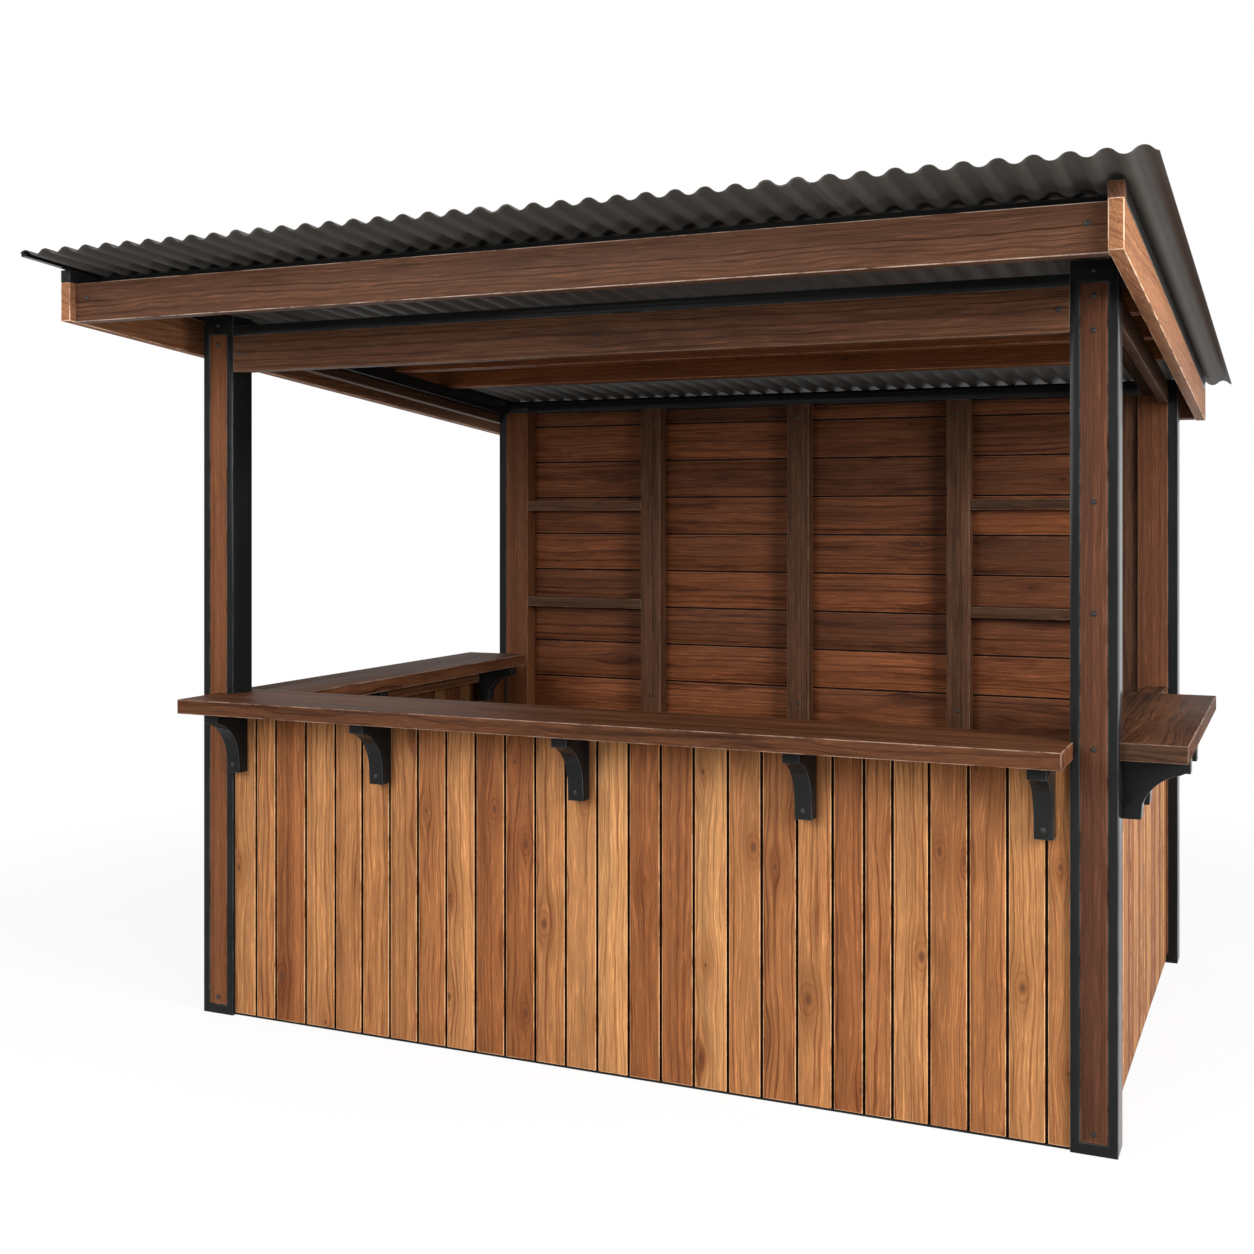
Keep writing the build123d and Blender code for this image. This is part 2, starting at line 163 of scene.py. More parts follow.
def add_knots(tree, across, along, share):
    """The nearest knot: distance in its radii, whether it is there, its push on the rings, its reach."""
    cells = node(tree, "ShaderNodeCombineXYZ", {
        0: maths(tree, "DIVIDE", across, KNOT_CELL_ACROSS),
        1: maths(tree, "DIVIDE", along, KNOT_CELL_ALONG),
    }).outputs[0]
    nearest = node(tree, "ShaderNodeTexVoronoi", {"Vector": cells, "Scale": 1.0, "Randomness": 0.8},
                   voronoi_dimensions="2D")
    away = node(tree, "ShaderNodeVectorMath", {0: cells, 1: nearest.outputs["Position"]},
                operation="SUBTRACT").outputs[0]
    away = node(tree, "ShaderNodeSeparateXYZ", {0: away}).outputs
    sideways = maths(tree, "MULTIPLY", away[0], KNOT_CELL_ACROSS)
    lengthways = maths(tree, "MULTIPLY", away[1], KNOT_CELL_ALONG)
    chance = node(tree, "ShaderNodeSeparateColor", {0: nearest.outputs["Color"]}).outputs
    present = maths(tree, "LESS_THAN", chance[0], share)
    radius = maths(tree, "MULTIPLY_ADD", chance[1], KNOT_SPREAD, KNOT_SMALLEST)
    stretched = maths(tree, "MULTIPLY", lengthways, KNOT_STRETCH)
    far = maths(tree, "SQRT", maths(tree, "ADD", maths(tree, "POWER", sideways, 2.0),
                                    maths(tree, "POWER", stretched, 2.0)))
    radii = maths(tree, "DIVIDE", far, radius)
    flow = maths(tree, "ADD",
                 maths(tree, "POWER", maths(tree, "DIVIDE", sideways, KNOT_FLOW_ACROSS), 2.0),
                 maths(tree, "POWER", maths(tree, "DIVIDE", lengthways, KNOT_FLOW_ALONG), 2.0))
    falling = maths(tree, "EXPONENT", maths(tree, "MULTIPLY", flow, -1.0))
    reach = maths(tree, "MULTIPLY", falling, present)
    push = maths(tree, "MULTIPLY", maths(tree, "MULTIPLY", reach, sideways), KNOT_PUSH)
    return radii, present, push, reach


print("knots of", KNOT_SMALLEST * 1000, "to", (KNOT_SMALLEST + KNOT_SPREAD) * 1000, "mm radius")

# %% [markdown]
# Timber is a slice through a tree, so its figure is solid: rings that are nearly straight
# lines along the board, with fine fibres along them. A picture of wood could not follow
# the end of a plank round its corner, so this group works the figure out in space. X is
# across the board, Y into it and Z along the grain, and the Board value moves each board
# to its own part of the tree.

# %% Timber figure
BOARD_SHIFT = (31.7, 17.3, 53.9)


def timber_figure():
    """The group that turns a place in the wood into its colour, roughness and height."""
    tree, given, result = group(
        "timber figure",
        {"Vector": "Vector", "Board": "Float", "Base": "Color", "Late": "Color", "Knot": "Color",
         "Lines": "Float", "Figure": "Float", "Knots": "Float", "Streaks": "Float"},
        {"Color": "Color", "Roughness": "Float", "Height": "Float"},
    )
    shift = node(tree, "ShaderNodeCombineXYZ", {
        axis: maths(tree, "MULTIPLY", given["Board"], step) for axis, step in enumerate(BOARD_SHIFT)
    }).outputs[0]
    moved = {0: given["Vector"], 1: shift}
    place = node(tree, "ShaderNodeVectorMath", moved, operation="ADD").outputs[0]
    across, inwards, along = node(tree, "ShaderNodeSeparateXYZ", {0: place}).outputs
    radii, present, push, reach = add_knots(tree, across, along, given["Knots"])

    def fibres(where, wide, long, detail, roughness=0.5):
        """A noise with so many spots to the metre across the grain and fewer along it."""
        stretched = node(tree, "ShaderNodeVectorMath", {0: where, 1: (wide, wide, long)},
                         operation="MULTIPLY").outputs[0]
        noise = {"Vector": stretched, "Scale": 1.0, "Detail": detail, "Roughness": roughness}
        return node(tree, "ShaderNodeTexNoise", noise).outputs[0]

    wander = maths(tree, "SUBTRACT", fibres(place, 7.0, 1.8, 3.0, 0.55), 0.5)
    wander = maths(tree, "MULTIPLY", wander, given["Figure"])
    parted = maths(tree, "SUBTRACT", across, push)
    straight = maths(tree, "ADD", parted, maths(tree, "MULTIPLY", inwards, 0.45))
    ring = maths(tree, "ADD", maths(tree, "MULTIPLY", straight, given["Lines"]), wander)
    flow = node(tree, "ShaderNodeCombineXYZ", {
        0: maths(tree, "DIVIDE", ring, given["Lines"]), 1: inwards, 2: along}).outputs[0]
    bands = node(tree, "ShaderNodeTexNoise", {"W": ring, "Scale": 1.0, "Detail": 4.0, "Roughness": 0.7},
                 noise_dimensions="1D").outputs[0]
    broad = node(tree, "ShaderNodeTexNoise", {"W": ring, "Scale": 0.22, "Detail": 1.0},
                 noise_dimensions="1D").outputs[0]
    late = smooth_step(tree, bands, 0.46, 0.66)
    broken = smooth_step(tree, fibres(flow, 130.0, 6.0, 3.0, 0.6), 0.34, 0.6)
    pores = fibres(flow, 380.0, 13.0, 2.0, 0.6)
    threads = smooth_step(tree, fibres(flow, 230.0, 9.0, 3.0, 0.7), 0.5, 0.72)
    smoky = smooth_step(tree, fibres(flow, 24.0, 2.4, 4.0, 0.62), 0.47, 0.72)
    patch = fibres(place, 9.0, 1.9, 3.0)

    lines = maths(tree, "MULTIPLY", late, maths(tree, "MULTIPLY_ADD", broken, 0.55, 0.45))
    darker = blend(tree, 1.0, given["Base"], given["Late"], "MULTIPLY")
    colour = blend(tree, lines, given["Base"], darker)
    deep = blend(tree, 1.0, colour, given["Late"], "MULTIPLY")
    colour = blend(tree, maths(tree, "MULTIPLY", smoky, given["Streaks"]), colour, deep)
    light = maths(tree, "MULTIPLY_ADD", broad, 0.5, 0.75)
    light = maths(tree, "MULTIPLY", light, maths(tree, "MULTIPLY_ADD", pores, 0.8, 0.6))
    light = maths(tree, "MULTIPLY", light, maths(tree, "MULTIPLY_ADD", threads, 0.62, 0.88))
    light = maths(tree, "MULTIPLY", light, maths(tree, "MULTIPLY_ADD", patch, 0.56, 0.72))
    colour = blend(tree, 1.0, colour, grey(tree, light), "MULTIPLY")

    colour = blend(tree, maths(tree, "MULTIPLY", reach, 0.6), colour, deep)
    swirl = maths(tree, "MULTIPLY_ADD", patch, 9.0, maths(tree, "MULTIPLY", radii, 4.2))
    swirl = smooth_step(tree, maths(tree, "SINE", swirl), 0.1, 0.9)
    near = maths(tree, "MULTIPLY", smooth_step(tree, radii, 5.5, 1.0), present)
    swirl = maths(tree, "MULTIPLY", maths(tree, "MULTIPLY", swirl, near), 0.55)
    colour = blend(tree, swirl, colour, deep)
    heart = maths(tree, "MULTIPLY", smooth_step(tree, radii, 1.25, 0.35), present)
    colour = blend(tree, maths(tree, "MULTIPLY", heart, 0.85), colour, given["Knot"])

    tree.links.new(colour, result["Color"])
    rough = maths(tree, "MULTIPLY_ADD", pores, 0.14, 0.52)
    rough = maths(tree, "ADD", rough, maths(tree, "MULTIPLY", late, -0.06))
    tree.links.new(rough, result["Roughness"])
    height = maths(tree, "ADD", maths(tree, "MULTIPLY", late, 0.4), maths(tree, "MULTIPLY", pores, 0.6))
    tree.links.new(height, result["Height"])
    return tree


TIMBER_FIGURE = timber_figure()
print(TIMBER_FIGURE.name, len(TIMBER_FIGURE.nodes), "nodes")

# %% [markdown]
# Hands, rain and goods rub the corners of a stall first. The wear could be read from the
# bend of the surface, but that changes with how finely a mesh is cut, so every eased
# corner of a piece carries the face attribute "edge" instead. This group lightens the
# finish there, as wear and as a painted highlight where the corner catches the light,
# broken up by a noise so that the line is never even.

# %% Rubbed edges


def rubbed_and_highlit_edges():
    """The group that lightens a colour where the corner is rubbed, as wear and as a painted highlight."""
    tree, given, result = group(
        "rubbed and highlit edges",
        {"Vector": "Vector", "Edge": "Float", "Color": "Color", "Rubbed and highlight": "Color", "Amount": "Float"},
        {"Color": "Color"},
    )
    broken = node(tree, "ShaderNodeTexNoise",
                  {"Vector": given["Vector"], "Scale": 9.0, "Detail": 5.0, "Roughness": 0.7}).outputs[0]
    share = maths(tree, "MULTIPLY", smooth_step(tree, broken, 0.32, 0.62), given["Amount"])
    share = maths(tree, "MULTIPLY", share, given["Edge"])
    tree.links.new(blend(tree, share, given["Color"], given["Rubbed and highlight"]), result["Color"])
    return tree


RUBBED_AND_HIGHLIT_EDGES = rubbed_and_highlit_edges()
print(RUBBED_AND_HIGHLIT_EDGES.name, len(RUBBED_AND_HIGHLIT_EDGES.nodes), "nodes")

# %% [markdown]
# The stall's timbers differ in stain, not in kind, so one function makes every finish. A
# finish is a small table of colours and amounts; the grain direction says which axis of
# the piece runs along the board and which runs across its wide face, so that the solid
# figure lies the right way. Each board's tone lies between a pale and a deep colour.

# %% Timber finishes
# Each finish's rubbed colour lightens its eased corners, as wear and as a painted highlight.
FINISHES = {
    "light_boards": dict(
        pale=(0.456, 0.224, 0.086), deep=(0.230, 0.0785, 0.0250), late=(0.50, 0.375, 0.30),
        knot=(0.085, 0.034, 0.016), rubbed_highlight=(0.74, 0.43, 0.21), lines=88.0, figure=4.6,
        knots=0.62, streaks=0.5, rub_and_highlight=0.75, gloss=0.10),
    "dark_boards": dict(
        pale=(0.196, 0.0640, 0.0235), deep=(0.086, 0.0310, 0.0140), late=(0.42, 0.35, 0.31),
        knot=(0.03, 0.013, 0.008), rubbed_highlight=(0.30, 0.13, 0.065), lines=78.0, figure=3.2,
        knots=0.3, streaks=0.9, rub_and_highlight=0.6, gloss=0.08),
    "dark_timber": dict(
        pale=(0.111, 0.047, 0.0230), deep=(0.059, 0.029, 0.0164), late=(0.44, 0.39, 0.36),
        knot=(0.03, 0.014, 0.01), rubbed_highlight=(0.22, 0.135, 0.09), lines=95.0, figure=3.0,
        knots=0.14, streaks=0.72, rub_and_highlight=0.55, gloss=0.08),
    "fascia_timber": dict(
        pale=(0.132, 0.0555, 0.0268), deep=(0.077, 0.0343, 0.0190), late=(0.42, 0.35, 0.31),
        knot=(0.04, 0.016, 0.01), rubbed_highlight=(0.46, 0.34, 0.27), lines=80.0, figure=4.2,
        knots=0.14, streaks=0.7, rub_and_highlight=0.8, gloss=0.08),
    "purlin_timber": dict(
        pale=(0.275, 0.080, 0.0225), deep=(0.175, 0.055, 0.0175), late=(0.48, 0.43, 0.40),
        knot=(0.03, 0.014, 0.01), rubbed_highlight=(0.40, 0.22, 0.13), lines=80.0, figure=3.0,
        knots=0.14, streaks=0.6, rub_and_highlight=0.8, gloss=0.08),
    "counter_timber": dict(
        pale=(0.125, 0.047, 0.0200), deep=(0.076, 0.0305, 0.0145), late=(0.36, 0.30, 0.27),
        knot=(0.03, 0.014, 0.01), rubbed_highlight=(0.40, 0.27, 0.20), lines=75.0, figure=5.0,
        knots=0.06, streaks=0.75, rub_and_highlight=0.6, gloss=0.05),
    "post_timber": dict(
        pale=(0.138, 0.0500, 0.0200), deep=(0.076, 0.0290, 0.0148), late=(0.64, 0.57, 0.53),
        knot=(0.04, 0.018, 0.012), rubbed_highlight=(0.26, 0.13, 0.08), lines=95.0, figure=2.0,
        knots=0.05, streaks=0.4, rub_and_highlight=0.5, gloss=0.08),
    "barge_timber": dict(
        pale=(0.310, 0.138, 0.064), deep=(0.230, 0.098, 0.045), late=(0.60, 0.50, 0.44),
        knot=(0.09, 0.04, 0.022), rubbed_highlight=(0.80, 0.55, 0.38), lines=85.0, figure=3.0,
        knots=0.10, streaks=0.35, rub_and_highlight=0.9, gloss=0.10),
}
AXES = {"x": 0, "y": 1, "z": 2}
# The colour the shade value darkens to: painted shade in the joints and on the tongues, darker sawn ends,
# and a stain with painted shade on the inner side of the low walls.
STAIN_AND_PAINTED_SHADE = (0.045, 0.025, 0.018, 1)
FACE_VALUES = ("board", "tone", "edge", "shade")


def timber(finish, along, across):
    """The material of one finish with its grain along one axis of the piece."""
    name = f"{finish}_{along}{across}"
    if name in bpy.data.materials:
        return bpy.data.materials[name]
    values = FINISHES[finish]
    material = bpy.data.materials.new(name)
    material.use_nodes = True
    tree = material.node_tree
    shader = tree.nodes["Principled BSDF"]
    place = node(tree, "ShaderNodeTexCoord").outputs["Object"]
    split = node(tree, "ShaderNodeSeparateXYZ", {0: place}).outputs
    into = 3 - AXES[along] - AXES[across]
    turned = node(tree, "ShaderNodeCombineXYZ",
                  {0: split[AXES[across]], 1: split[into], 2: split[AXES[along]]}).outputs[0]
    board, tone, edge, shade = (attribute(tree, value) for value in FACE_VALUES)
    base = blend(tree, tone, (*values["pale"], 1), (*values["deep"], 1))
    figure = node(tree, "ShaderNodeGroup", {
        "Vector": turned, "Board": board, "Base": base, "Late": (*values["late"], 1),
        "Knot": (*values["knot"], 1), "Lines": values["lines"], "Figure": values["figure"],
        "Knots": values["knots"], "Streaks": values["streaks"],
    }, node_tree=TIMBER_FIGURE)
    # The eased corners are lightened, as wear and as a painted highlight.
    rubbed_highlight = node(tree, "ShaderNodeGroup", {
        "Vector": place, "Edge": edge, "Color": figure.outputs["Color"],
        "Rubbed and highlight": (*values["rubbed_highlight"], 1), "Amount": values["rub_and_highlight"],
    }, node_tree=RUBBED_AND_HIGHLIT_EDGES)
    bump = node(tree, "ShaderNodeBump", {"Height": figure.outputs["Height"], "Strength": 0.4,
                                         "Distance": 0.0008}).outputs[0]
    # The shade value darkens the colour: painted shade in the joints and on the tongues, darker sawn ends,
    # and a stain with painted shade on the inner walls.
    stain_and_painted_shade = blend(tree, shade, (1, 1, 1, 1), STAIN_AND_PAINTED_SHADE)
    shown = blend(tree, 1.0, rubbed_highlight.outputs["Color"], stain_and_painted_shade, "MULTIPLY")
    tree.links.new(shown, shader.inputs["Base Color"])
    tree.links.new(figure.outputs["Roughness"], shader.inputs["Roughness"])
    tree.links.new(bump, shader.inputs["Normal"])
    shader.inputs["Specular IOR Level"].default_value = values["gloss"]
    return material


print(len(FINISHES), "timber finishes:", ", ".join(FINISHES))

# %% [markdown]
# The steel is powder coated: a charcoal skin with the faint orange peel of baked
# powder, a little dust, and lighter corners, where the coat is thin and where a painted
# highlight stands in for the light they catch. One function makes the coat of the frames,
# of the roof sheets and of the bolts, because they differ only in colour, roughness and
# gloss.

# %% Coated steel


def coated_steel(name, colour, dusty, rough, peel, rubbed_highlight, rub_and_highlight, gloss):
    """A powder coated steel finish."""
    material = bpy.data.materials.new(name)
    material.use_nodes = True
    tree = material.node_tree
    shader = tree.nodes["Principled BSDF"]
    place = node(tree, "ShaderNodeTexCoord").outputs["Object"]
    cloud = node(tree, "ShaderNodeTexNoise", {"Vector": place, "Scale": 3.0, "Detail": 5.0,
                                              "Roughness": 0.6}).outputs[0]
    grain = node(tree, "ShaderNodeTexNoise", {"Vector": place, "Scale": 620.0, "Detail": 1.0}).outputs[0]
    tint = blend(tree, smooth_step(tree, cloud, 0.35, 0.75), (*colour, 1), (*dusty, 1))
    # The corners are lightened, as thin coat and as a painted highlight.
    worn_and_highlit = node(tree, "ShaderNodeGroup", {
        "Vector": place, "Edge": attribute(tree, "edge"), "Color": tint,
        "Rubbed and highlight": (*rubbed_highlight, 1), "Amount": rub_and_highlight,
    }, node_tree=RUBBED_AND_HIGHLIT_EDGES)
    tree.links.new(worn_and_highlit.outputs["Color"], shader.inputs["Base Color"])
    tree.links.new(maths(tree, "MULTIPLY_ADD", cloud, 0.22, rough), shader.inputs["Roughness"])
    shader.inputs["Specular IOR Level"].default_value = gloss
    skin = {"Height": grain, "Strength": peel, "Distance": 0.0004}
    tree.links.new(node(tree, "ShaderNodeBump", skin).outputs[0], shader.inputs["Normal"])
    return material


# Each coat's rubbed colour, the last colour given, lightens its eased corners, as wear and as a painted
# highlight.
BLACK_STEEL = coated_steel("black_steel_coat", (0.0092, 0.0096, 0.0096), (0.0128, 0.0131, 0.0128),
                           0.08, 0.18, (0.085, 0.087, 0.088), 0.7, 0.07)
ROOF_STEEL = coated_steel("roof_steel_coat", (0.060, 0.056, 0.0495), (0.080, 0.0735, 0.0655),
                          0.46, 0.2, (0.12, 0.12, 0.115), 0.5, 0.2)
BOLT_STEEL = coated_steel("bolt_steel_coat", (0.013, 0.012, 0.011), (0.022, 0.021, 0.019),
                          0.24, 0.1, (0.12, 0.115, 0.11), 0.8, 0.25)
print(BLACK_STEEL.name, ROOF_STEEL.name, BOLT_STEEL.name)

# %% [markdown]
# No sawn or folded edge is a perfect knife edge: it is eased a little, and the narrow
# faces catch the light as a thin bright line. A Bevel modifier could ease them, but the
# finish has to know which faces are eased, so the operator does it and they are marked.

# %% Easing edges
SHARP = radians(28)
MERGE = 1e-5


def face_layers(bm):
    """The four face attributes that the finishes read."""
    layers = bm.faces.layers.float
    return [layers.get(name) or layers.new(name) for name in FACE_VALUES]


def sharp_edges(bm):
    """The corners of a solid."""
    return [edge for edge in bm.edges
            if len(edge.link_faces) == 2 and edge.calc_face_angle(0) > SHARP]


def bevel(bm, edges, width):
    """Rounds some edges and gives back the new narrow faces."""
    return bmesh.ops.bevel(bm, geom=edges, offset=width, offset_type="OFFSET", segments=2,
                           profile=0.5, affect="EDGES", material=-1, clamp_overlap=True)["faces"]


def ease(bm, width):
    """Rounds every sharp corner of the mesh and marks the new narrow faces."""
    _, _, edge_layer, shade_layer = face_layers(bm)
    for face in bevel(bm, sharp_edges(bm), width):
        face[edge_layer] = 1.0
        face[shade_layer] = 0.0


print("edges sharper than", round(degrees(SHARP)), "degrees are eased")

# %% [markdown]
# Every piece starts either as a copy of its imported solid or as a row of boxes. A copy is
# merged and its flat faces joined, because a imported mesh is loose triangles. Each solid
# in a piece gets its own part of the tree and its own tone, from a seeded chance, and
# the solids are put in order first, so that the same board always has the same tone.

# %% Helpers for pieces
rng = random.Random(41)


def place_of(faces):
    """The low corner of a solid, to put solids in order from left to right."""
    spots = [vert.co for face in faces for vert in face.verts]
    return [round(min(spot[axis] for spot in spots), 4) for axis in range(3)]


def islands(bm):
    """The separate solids of a mesh, each as a list of faces, in order of place."""
    left, solids = set(bm.faces), []
    while left:
        found, front = set(), [left.pop()]
        while front:
            face = front.pop()
            found.add(face)
            for edge in face.edges:
                for other in edge.link_faces:
                    if other in left:
                        left.discard(other)
                        front.append(other)
        solids.append(list(found))
    return sorted(solids, key=place_of)


def solid_copy(name):
    """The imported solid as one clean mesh: merged, with each flat side a single face."""
    bm = bmesh.new()
    bm.from_mesh(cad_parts[name].data)
    bmesh.ops.remove_doubles(bm, verts=bm.verts[:], dist=MERGE)
    bmesh.ops.dissolve_limit(bm, angle_limit=radians(0.5), verts=bm.verts[:], edges=bm.edges[:])
    return bm


def finish_piece(bm, name, material, slot, *replaced):
    """Turns a mesh into a piece of the stall that rides on it."""
    mesh = bpy.data.meshes.new(name)
    bm.to_mesh(mesh)
    bm.free()
    mesh.shade_smooth()
    mesh.set_sharp_from_angle(angle=SHARP)
    mesh.materials.append(material)
    piece = bpy.data.objects.new(name, mesh)
    bpy.context.scene.collection.objects.link(piece)
    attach(piece, "root")
    if replaced:
        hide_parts(*replaced)
    return piece


def set_tones(bm, tones=None):
    """Gives each solid of the mesh its own part of the tree and its own tone."""
    board_layer, tone_layer, _, _ = face_layers(bm)
    for index, faces in enumerate(islands(bm)):
        board, tone = rng.random(), rng.random()
        for face in faces:
            face[board_layer] = board
            face[tone_layer] = tones[index] if tones else tone


def eased(name, material, slot, width, tones=None):
    """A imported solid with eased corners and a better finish."""
    bm = solid_copy(name)
    set_tones(bm, tones)
    ease(bm, width)
    return finish_piece(bm, f"{name}_eased", material, slot, name)


print("pieces ride on the stall, with the face values", ", ".join(FACE_VALUES))

# %% [markdown]
# ## The walls
# The low walls are upright boards with a narrow dark gap between them. Grooves could be
# cut into the slab of each packed wall, but separate boards are truer: the boxes divide
# its width, each a hair off the others in width, thickness and place, as sawn boards are.

# %% Widths of boards
GAP = 0.0080


def box_between(bm, low, high):
    """A box between two corners, as part of a mesh."""
    made = bmesh.ops.create_cube(bm, size=1.0)["verts"]
    size = [b - a for a, b in zip(low, high)]
    middle = [(a + b) / 2 for a, b in zip(low, high)]
    bmesh.ops.scale(bm, vec=size, verts=made)
    bmesh.ops.translate(bm, vec=middle, verts=made)
    return made


def board_edges(low, high, count, gap, wobble, odd=None):
    """The two edges of each of a row of boards across a width, a few of them of odd widths."""
    odd = odd or {}
    pitch = (high - low + gap - sum(odd.values())) / (count - len(odd))
    cuts = [low - gap / 2]
    for index in range(count):
        cuts.append(cuts[-1] + odd.get(index, pitch))
    cuts = [cut + rng.uniform(-wobble, wobble) if 0 < index < count else cut
            for index, cut in enumerate(cuts)]
    return [(left + gap / 2, right - gap / 2) for left, right in zip(cuts, cuts[1:])]


print("gap between boards", GAP * 1000, "mm")

# %% [markdown]
# A gap between real boards is dark, because a tongue closes it and little light gets in.
# A gap that is only open would show the light of the other side, so each has a tongue.
# The sides of the gaps and the tongues are darkened further with painted shade, the sawn
# ends are darkened too, and the inner side of the low walls has a stain with painted
# shade over it.

# %% Joints and tongues
THICKNESS_PLAY = 0.0012
TONGUE_LAP = 0.001
TONGUE_THICKNESS = 0.005
TONGUE_SHIFT = 0.22
BOARD_EASE = 0.0022
# Full darkening for the joints, where it is painted shade, and for the sawn ends; less, a stain with
# painted shade, for the inner side.
JOINT_SHADE = 1.0
INSIDE_SHADE = 0.78


def shade_joints(bm, depth, inside):
    """Paints shade on the faces in the joints, darkens the sawn ends, and gives the inner side a stain with
    painted shade.
    """
    shade_layer = face_layers(bm)[3]
    for face in bm.faces:
        if abs(face.normal[depth]) < 0.1:
            face[shade_layer] = JOINT_SHADE
        elif inside and face.normal[depth] * inside > 0.9:
            face[shade_layer] = INSIDE_SHADE


def stain_and_paint_shade_on_edges(bm, depth, inside, top):
    """Gives the eased edges on the inner side or on the sawn tops the inner stain and painted shade,
    without the lighter rubbed colour.
    """
    _, _, edge_layer, shade_layer = face_layers(bm)
    for face in bm.faces:
        inner = inside and face.normal[depth] * inside > 0.3
        if face[edge_layer] and (inner or face.calc_center_median().z > top - 2 * BOARD_EASE):
            face[edge_layer] = 0.0
            face[shade_layer] = INSIDE_SHADE


def add_tongues(bm, spans, low, high, axis, depth, inside):
    """The tongue in each joint, moved from the middle towards the inner side of the boards."""
    middle = low[depth] + (high[depth] - low[depth]) * (0.5 + TONGUE_SHIFT * inside)
    shade_layer = face_layers(bm)[3]
    for (_, left), (right, _) in zip(spans, spans[1:]):
        start, end = low.copy(), high.copy()
        start[axis], end[axis] = left - TONGUE_LAP, right + TONGUE_LAP
        start[depth], end[depth] = middle - TONGUE_THICKNESS / 2, middle + TONGUE_THICKNESS / 2
        # Each tongue carries full painted shade.
        for vert in box_between(bm, start, end):
            for face in vert.link_faces:
                face[shade_layer] = JOINT_SHADE


def board_wall(name, across, finish, along, spans, tones=None, inside=0):
    """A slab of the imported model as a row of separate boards."""
    low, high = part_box(name)
    axis, length = AXES[across], AXES[along]
    depth = 3 - axis - length
    bm = bmesh.new()
    face_layers(bm)
    for left, right in spans:
        start, end = low.copy(), high.copy()
        start[axis], end[axis] = left, right
        start[depth] += rng.uniform(0, THICKNESS_PLAY)
        end[depth] -= rng.uniform(0, THICKNESS_PLAY)
        box_between(bm, start, end)
    bm.normal_update()
    set_tones(bm, tones)
    shade_joints(bm, depth, inside)
    ease(bm, BOARD_EASE)
    bm.normal_update()
    stain_and_paint_shade_on_edges(bm, depth, inside, high.z)
    add_tongues(bm, spans, low, high, axis, depth, inside)
    return finish_piece(bm, f"{name}_boards", timber(finish, along, across), finish, name)


print("boards eased by", BOARD_EASE * 1000, "mm, tongues", TONGUE_THICKNESS * 1000, "mm thick")

# %% [markdown]
# The front wall's boards were counted in the photograph, and they aren't alike: seven are
# narrower or wider than the rest, and their tones run from pale to russet. Chance would
# give another wall, so the tones and the odd widths are written out from left to right.
# The side walls hardly show, and there every board's tone is left to chance.

# %% Low walls
TONE = {"pale": 0.05, "honey": 0.36, "tan": 0.55, "brown": 0.75, "russet": 0.92}
FRONT_TONES = (
    "honey tan russet honey tan tan tan brown honey russet russet tan honey pale "
    "russet russet pale tan brown tan russet brown honey brown brown honey tan"
).split()
ODD_WIDTHS = {0: 0.090, 1: 0.080, 2: 0.118, 3: 0.112, 20: 0.091, 21: 0.077, 26: 0.064}
BOARD_WOBBLE = 0.0015
front_low, front_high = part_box("front_wall")
board_wall("front_wall", "x", "light_boards", "z",
           board_edges(front_low.x, front_high.x, len(FRONT_TONES), GAP, BOARD_WOBBLE, ODD_WIDTHS),
           [TONE[word] for word in FRONT_TONES], inside=1)
SIDE_BOARDS = 18
for side, inside in (("left", 1), ("right", -1)):
    side_low, side_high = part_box(f"{side}_wall")
    board_wall(f"{side}_wall", "y", "light_boards", "z",
               board_edges(side_low.y, side_high.y, SIDE_BOARDS, GAP, BOARD_WOBBLE), inside=inside)
print(len(FRONT_TONES), "front boards,", 2 * SIDE_BOARDS, "side boards")

# %% [markdown]
# The back wall has lying boards in a darker finish, 157 mm high but for the top course,
# which is cut to fit under the rail. One long box to a course would look too even, so the
# boards butt against each other behind the studs, and each bay has its own tones.

# %% Back boards
BACK_COURSE = 0.157
WIDEST_TOP = 1.2
BACK_GAP = 0.0068
BUTT_GAP = 0.001
back_low, back_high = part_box("back_wall")


def back_courses():
    """The lower and upper edge of each lying board, from the ground up."""
    joints = [back_low.z]
    while joints[-1] + BACK_COURSE * WIDEST_TOP < back_high.z:
        joints.append(joints[-1] + BACK_COURSE)
    joints.append(back_high.z)
    return [(a + BACK_GAP / 2, b - BACK_GAP / 2) for a, b in zip(joints, joints[1:])]


def back_bays():
    """The left and right end of the boards of each bay, cut behind the studs."""
    cuts = [back_low.x]
    for side in ("left", "middle", "right"):
        low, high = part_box(f"back_stud_{side}")
        cuts.append((low.x + high.x) / 2)
    cuts.append(back_high.x)
    return [(a + BUTT_GAP / 2, b - BUTT_GAP / 2) for a, b in zip(cuts, cuts[1:])]


courses, bays = back_courses(), back_bays()
bm = bmesh.new()
face_layers(bm)
for bottom, top in courses:
    for left, right in bays:
        near = back_low.y + rng.uniform(0, THICKNESS_PLAY)
        far = back_high.y - rng.uniform(0, THICKNESS_PLAY)
        box_between(bm, (left, near, bottom), (right, far, top))
bm.normal_update()
set_tones(bm)
shade_joints(bm, AXES["y"], 0)
ease(bm, BOARD_EASE)
add_tongues(bm, courses, back_low, back_high, AXES["z"], AXES["y"], 0)
finish_piece(bm, "back_wall_boards", timber("dark_boards", "x", "z"), "dark_boards", "back_wall")
print(len(courses), "courses in", len(bays), "bays, the top one",
      round((back_high.z - back_low.z - BACK_COURSE * (len(courses) - 1)) * 1000), "mm")

